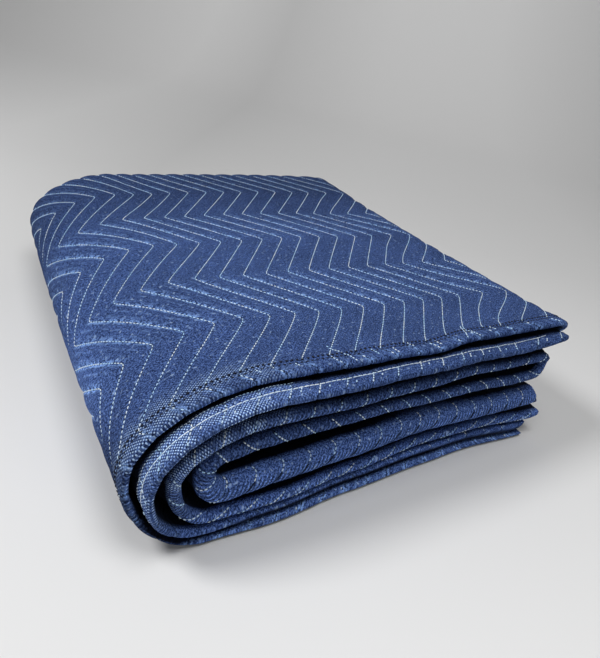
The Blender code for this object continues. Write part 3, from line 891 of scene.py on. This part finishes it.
class Look:
    """A material, with short ways to add nodes to it."""

    def __init__(self, name, roughness, specular):
        self.material = bpy.data.materials.new(name)
        self.material.use_nodes = True
        self.tree = self.material.node_tree
        self.surface = self.tree.nodes["Principled BSDF"]
        self.feed(self.surface, {"Roughness": roughness, "Specular IOR Level": specular})

    def feed(self, node, inputs):
        """Gives each named input a value, or a link from another node."""
        for name, value in inputs.items():
            if isinstance(value, bpy.types.NodeSocket):
                self.tree.links.new(value, node.inputs[name])
            else:
                node.inputs[name].default_value = value

    def add(self, kind, inputs, **settings):
        made = self.tree.nodes.new(kind)
        for name, value in settings.items():
            setattr(made, name, value)
        self.feed(made, inputs)
        return made

    def attribute(self, name, output):
        return self.add("ShaderNodeAttribute", {}, attribute_name=name).outputs[output]

    def place(self):
        return self.add("ShaderNodeTexCoord", {}).outputs["Object"]

    def split(self, vector):
        return self.add("ShaderNodeSeparateXYZ", {0: vector}).outputs

    def join(self, *values):
        return self.add("ShaderNodeCombineXYZ", dict(enumerate(values))).outputs[0]

    def maths(self, operation, *values):
        return self.add("ShaderNodeMath", dict(enumerate(values)), operation=operation).outputs[0]

    def times(self, first, *others):
        for other in others:
            first = self.maths("MULTIPLY", first, other)
        return first

    def total(self, first, *others):
        for other in others:
            first = self.maths("ADD", first, other)
        return first

    def upward(self, wave):
        """A wave of -1 to 1, brought to 0 to 1."""
        return self.maths("MULTIPLY_ADD", wave, 0.5, 0.5)

    def noise(self, place, scale, detail, roughness, distortion=0.0):
        inputs = {"Vector": place, "Scale": scale, "Detail": detail}
        inputs |= {"Roughness": roughness, "Distortion": distortion}
        return self.add("ShaderNodeTexNoise", inputs).outputs[0]

    def ramp(self, value, *stops):
        """A colour, or a grey given as one number, at places of a value."""
        made = self.add("ShaderNodeValToRGB", {0: value})
        elements = made.color_ramp.elements
        while len(elements) < len(stops):
            elements.new(0.5)
        for element, (place, tone) in zip(elements, stops):
            element.position = place
            element.color = tone if isinstance(tone, tuple) else (tone, tone, tone, 1.0)
        return made.outputs[0]

    def mix(self, factor, under, over, kind="MIX"):
        inputs = {MIX_FACTOR: factor, MIX_UNDER: under, MIX_OVER: over}
        made = self.add("ShaderNodeMix", inputs, data_type="RGBA", blend_type=kind)
        return made.outputs[MIX_RESULT]

    def shade(self, ground, tone):
        """The ground's colour, multiplied by a tone."""
        return self.mix(1.0, ground, tone, "MULTIPLY")

    def finish(self, ground, height=None, strength=0.0, distance=0.0):
        """The material with its colour and, where there is a height, its bump."""
        self.feed(self.surface, {"Base Color": ground})
        if height is not None:
            inputs = {"Height": height, "Strength": strength, "Distance": distance}
            bump = self.add("ShaderNodeBump", inputs)
            self.feed(self.surface, {"Normal": bump.outputs[0]})
        return self.material


DENIM_DARK = (0.012, 0.024, 0.077, 1.0)
DENIM = (0.036, 0.068, 0.198, 1.0)
DENIM_PALE = (0.088, 0.155, 0.392, 1.0)
SHEEN = {
    "Sheen Weight": 0.03, "Sheen Roughness": 0.5, "Sheen Tint": (0.30, 0.48, 0.95, 1.0),
}
LINT = (0.30, 0.42, 0.66, 1.0)
# painted highlight, on the ridges beside the lines and on the small wrinkles
RIDGE_HIGHLIGHT = (0.25, 0.43, 0.88, 1.0)
# the painted highlight's colour, on the knots of the left fold
PAINTED_HIGHLIGHT = (0.50, 0.70, 1.0, 1.0)
# painted shade: the near-black put between the layers and into the creases under the loop
GAP_SHADE = (0.02, 0.02, 0.03, 1.0)
NOISES = {  # scale, detail, roughness, distortion
    "yarn": (860.0, 1.0, 0.6, 0.0),
    "grain": (430.0, 2.0, 0.75, 0.0),
    "specks": (260.0, 1.0, 0.4, 0.0),
    "pucker": (150.0, 2.0, 0.65, 0.0),
    "mottle": (60.0, 3.0, 0.6, 0.3),
    "broad": (12.0, 3.0, 0.5, 0.6),
}
WEAVE_PITCH = 0.0026
RIB_PITCH = 0.0040
RIB_SLANT = 0.4
# The lower middle leg's loop is creased under its line, to the end of its leg, with painted
# shade in the creases
CREASED_LOOP = 0.035
CREASED_UP_TO = LOOP_V + 0.0030
CREASE_END_T = t_at(1.02)


def cloth_material():
    look = Look("quilted_denim_blue", 0.95, 0.06)
    look.feed(look.surface, SHEEN)
    t, v, number = look.split(look.attribute("sheet", "Vector"))
    # painted shade between the layers, the painted fold highlight, and painted light and shade on
    # the tones
    inside, fold_highlight, painted_light = look.split(look.attribute("use", "Vector"))
    flat = look.join(t, v)
    noises = {name: look.noise(flat, *row) for name, row in NOISES.items()}
    mottle, pucker, specks = noises["mottle"], noises["pucker"], noises["specks"]
    # distance from the nearest line: 0 on it, 0.5 midway
    near = look.maths("PINGPONG", number, 0.5)
    line = look.maths("SMOOTH_MIN", look.times(near, 9.0), 1.0)
    # painted shade in the groove of each line
    groove_shade = look.maths("SMOOTH_MIN", look.times(near, 20.0), 1.0)
    beside = look.ramp(near, (0.03, 1.0), (0.20, 0.0))
    # twill: knots, and on the inner folds ribs that run aslant
    weave = 2 * math.pi / WEAVE_PITCH
    warp = look.maths("SINE", look.times(t, weave))
    weft = look.maths("SINE", look.times(v, weave))
    knots = look.times(warp, weft)
    aslant = look.times(look.total(t, look.times(v, RIB_SLANT)), 2 * math.pi / RIB_PITCH)
    ribs = look.times(look.maths("SINE", aslant), look.attribute("ribbed", "Fac"))
    # the yarn's colours, in clouds
    grains = look.total(look.times(noises["yarn"], 0.55), look.times(noises["grain"], 0.45))
    ground = look.ramp(grains, (0.41, DENIM_DARK), (0.50, DENIM), (0.59, DENIM_PALE))
    ground = look.shade(ground, look.ramp(mottle, (0.3, 0.88), (0.7, 1.14)))
    ground = look.shade(ground, look.ramp(noises["broad"], (0.3, 0.88), (0.7, 1.12)))
    ground = look.shade(ground, look.ramp(look.upward(knots), (0.0, 0.80), (1.0, 1.22)))
    ground = look.shade(ground, look.ramp(look.upward(ribs), (0.15, 0.45), (0.85, 1.60)))
    ground = look.mix(look.ramp(specks, (0.66, 0.0), (0.74, 0.65)), ground, LINT)
    # the segments that run towards the back right pucker, and take a painted highlight on the
    # ridge beside the line
    slope = look.times(look.maths("SUBTRACT", v, ROW_ZERO), math.pi / HALF_PERIOD)
    slope = look.upward(look.maths("SINE", slope))
    puckered_and_lit = look.ramp(slope, (0.45, 0.15), (0.65, 1.0))
    mixed = look.total(look.times(grains, 0.5), look.times(specks, 0.5))
    ridge_highlight = look.times(look.ramp(mixed, (0.475, 0.0), (0.545, 0.92)), puckered_and_lit, beside)
    ground = look.mix(ridge_highlight, ground, RIDGE_HIGHLIGHT)
    # small wrinkles along the line there, in relief and with a painted highlight
    wrinkle = look.maths("MULTIPLY_ADD", number, 2 * math.pi * 3, look.times(mottle, 7.0))
    wrinkle = look.maths("POWER", look.upward(look.maths("SINE", wrinkle)), 3.0)
    some = look.ramp(pucker, (0.44, 0.0), (0.56, 1.0))
    wrinkle = look.times(wrinkle, look.times(some, puckered_and_lit))
    ground = look.mix(look.times(wrinkle, 0.25), ground, RIDGE_HIGHLIGHT)
    # painted highlight on the left fold's front: pale knots with more contrast, where the light
    # grazes
    tops = look.ramp(knots, (0.25, 0.0), (0.75, 1.0))
    patchy = look.ramp(mottle, (0.42, 0.12), (0.55, 1.0))
    sunken = look.shade(ground, look.ramp(knots, (0.30, 0.80), (0.55, 1.25)))
    ground = look.mix(fold_highlight, ground, sunken)
    ground = look.mix(look.times(fold_highlight, tops, patchy, 0.95), ground, PAINTED_HIGHLIGHT)
    # painted shade in each line's groove, painted light and shade on the tones,
    # and painted shade between the layers
    ground = look.shade(ground, look.ramp(groove_shade, (0.0, 0.35), (1.0, 1.0)))
    ground = look.shade(ground, look.join(painted_light, painted_light, painted_light))
    ground = look.mix(inside, ground, look.shade(ground, GAP_SHADE))
    # the stitched lines go on under the inner loop as soft diagonal creases, dented in relief
    # and with painted shade in them
    shaded_crease = look.ramp(near, (0.02, 1.0), (0.090, 0.0))
    at_loop = look.maths("COMPARE", v, LOOP_V, CREASED_LOOP)
    in_loop = look.times(at_loop, look.maths("LESS_THAN", t, CREASE_END_T))
    shaded_crease = look.times(shaded_crease, look.times(look.maths("LESS_THAN", v, CREASED_UP_TO), in_loop))
    ground = look.mix(look.times(shaded_crease, 0.9), ground, look.shade(ground, GAP_SHADE))
    # relief, in metres
    height = look.maths("SUBTRACT", look.times(knots, 0.00012), look.times(shaded_crease, 0.0008))
    for relief, rise in (
        (ribs, 0.00035), (grains, 0.0004), (mottle, 0.0006), (line, 0.0009), (wrinkle, 0.0006),
    ):
        height = look.total(height, look.times(relief, rise))
    height = look.total(height, look.times(beside, pucker, 0.0032))
    return look.finish(ground, height, 0.8, 1.0)


THREADS = {
    "pale_blue_thread": ((0.46, 0.72, 1.0, 1.0), (0.82, 0.92, 1.0, 1.0)),
    "white_thread": ((0.64, 0.80, 0.95, 1.0), (0.84, 0.93, 1.0, 1.0)),
    "navy_thread": ((0.003, 0.005, 0.014, 1.0), (0.008, 0.012, 0.030, 1.0)),
}


def thread_material(name):
    colour, pale = THREADS[name]
    look = Look(name, 0.6, 0.3)
    place = look.place()
    twist = look.noise(place, 1500.0, 1.0, 0.5)
    tone = look.ramp(look.noise(place, 60.0, 2.0, 0.5), (0.35, colour), (0.65, pale))
    tone = look.shade(tone, look.ramp(twist, (0.3, 0.8), (0.7, 1.1)))
    return look.finish(tone, twist, 0.4, 0.0002)


# ---- build
cloth = build_cloth()
cloth.data.materials.append(cloth_material())
quilting, edge, navy, white, thin = build_stitches()
pale_thread, white_thread, navy_thread = (thread_material(name) for name in THREADS)
looks = (pale_thread, pale_thread, navy_thread, white_thread, pale_thread)
for thing, look in zip((quilting, edge, navy, white, thin), looks):
    thing.data.materials.append(look)
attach(cloth, "root")
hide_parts("blanket_cloth")
for thing in (quilting, edge, navy, white, thin):
    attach(thing, "root")

# ---- camera
CAMERA_PLACE = (-0.32765, -0.50232, 0.37448)
PITCH_DOWN = math.radians(29.875)
YAW = math.radians(37.157)
ROLL = math.radians(13.223)
AHEAD = Vector((math.sin(YAW), math.cos(YAW), 0.0))  # level, as the camera looks
BESIDE = Vector((math.cos(YAW), -math.sin(YAW), 0.0))


def add_camera():
    forward = AHEAD * math.cos(PITCH_DOWN) - Vector((0.0, 0.0, math.sin(PITCH_DOWN)))
    upward = BESIDE.cross(forward)
    right = math.cos(ROLL) * BESIDE + math.sin(ROLL) * upward
    up = -math.sin(ROLL) * BESIDE + math.cos(ROLL) * upward
    camera = add_object("camera", bpy.data.cameras.new("camera"))
    camera.data.lens = 30.488
    camera.data.clip_start = 0.02
    camera.data.clip_end = 50.0
    turned = Matrix((right, up, -forward)).transposed().to_4x4()
    turned.translation = Vector(CAMERA_PLACE)
    camera.matrix_world = turned
    bpy.context.scene.camera = camera


# ---- floor and light
FLOOR_DROP = 0.0004
FLOOR_START, BEND_START, BEND_RADIUS, WALL_TOP = -6.0, 1.6, 1.6, 8.0
FLOOR_REACH = 9.0  # to each side
# Painted light on the floor, each along its span: darker further ahead, and changing across
AHEAD_SPAN, ACROSS_SPAN = (-0.6, 3.2), (-0.7, 0.7)
AHEAD_PAINTED_LIGHT = ((0.0, 0.90), (0.12, 0.80), (0.30, 0.72), (0.6, 0.74), (1.0, 0.80))
ACROSS_PAINTED_LIGHT = ((0.0, 1.02), (0.25, 0.84), (0.45, 0.93), (0.6, 1.0), (1.0, 1.12))
LIGHTS = (  # name, place, aim, size, power
    ("overhead", (-0.15, -0.50, 1.45), (0, -0.1, 0.05), 0.7, 8.5),
    ("front_fill", (0.25, -1.5, 0.55), (0.0, -0.2, 0.08), 0.7, 2.0),
    ("left_key", (-1.05, 0.15, 1.3), (0, 0, 0.05), 0.5, 15.0),
    ("backdrop_wash", (0.6, 1.2, 2.2), (2.1, 2.9, 0.8), 1.6, 20.0),
)


def add_floor():
    """A level floor that curves up into a wall far behind the object."""
    profile = [(FLOOR_START, 0.0)]
    for angle in np.linspace(0, math.pi / 2, 24):
        run = BEND_START + BEND_RADIUS * math.sin(angle)
        profile.append((run, BEND_RADIUS - BEND_RADIUS * math.cos(angle)))
    profile.append((BEND_START + BEND_RADIUS, WALL_TOP))
    points = []
    for run, rise in profile:
        for reach in (-FLOOR_REACH, FLOOR_REACH):
            points.append(AHEAD * run + BESIDE * reach + Vector((0, 0, rise - FLOOR_DROP)))
    faces = [(2 * k, 2 * k + 1, 2 * k + 3, 2 * k + 2) for k in range(len(profile) - 1)]
    floor = add_mesh("floor", points, faces)
    floor.data.materials.append(floor_material())


def floor_material():
    look = Look("pale_floor", 0.9, 0.05)
    x, y, _ = look.split(look.place())
    ahead = look.total(look.times(x, math.sin(YAW)), look.times(y, math.cos(YAW)))
    across = look.maths("SUBTRACT", look.times(x, math.cos(YAW)), look.times(y, math.sin(YAW)))
    # painted light: the floor's brightness is painted into its colour
    floor_light = []
    for place, span, stops in (
        (ahead, AHEAD_SPAN, AHEAD_PAINTED_LIGHT), (across, ACROSS_SPAN, ACROSS_PAINTED_LIGHT),
    ):
        inputs = {"Value": place, "From Min": span[0], "From Max": span[1]}
        floor_light.append(look.ramp(look.add("ShaderNodeMapRange", inputs).outputs[0], *stops))
    return look.finish(look.shade(*floor_light))


def add_light(name, place, aim, size, power):
    lamp = bpy.data.lights.new(name, "AREA")
    lamp.shape = "DISK"
    lamp.size = size
    lamp.energy = power
    thing = add_object(name, lamp)
    thing.location = place
    thing.rotation_euler = (Vector(aim) - Vector(place)).to_track_quat("-Z", "Y").to_euler()


def add_world():
    world = bpy.data.worlds.new("studio")
    world.use_nodes = True
    background = world.node_tree.nodes["Background"]
    background.inputs["Color"].default_value = (1.0, 1.0, 1.0, 1.0)
    background.inputs["Strength"].default_value = 0.14
    bpy.context.scene.world = world


add_camera()
add_floor()
add_world()
for row in LIGHTS:
    add_light(*row)
bpy.context.scene.view_settings.view_transform = "Standard"
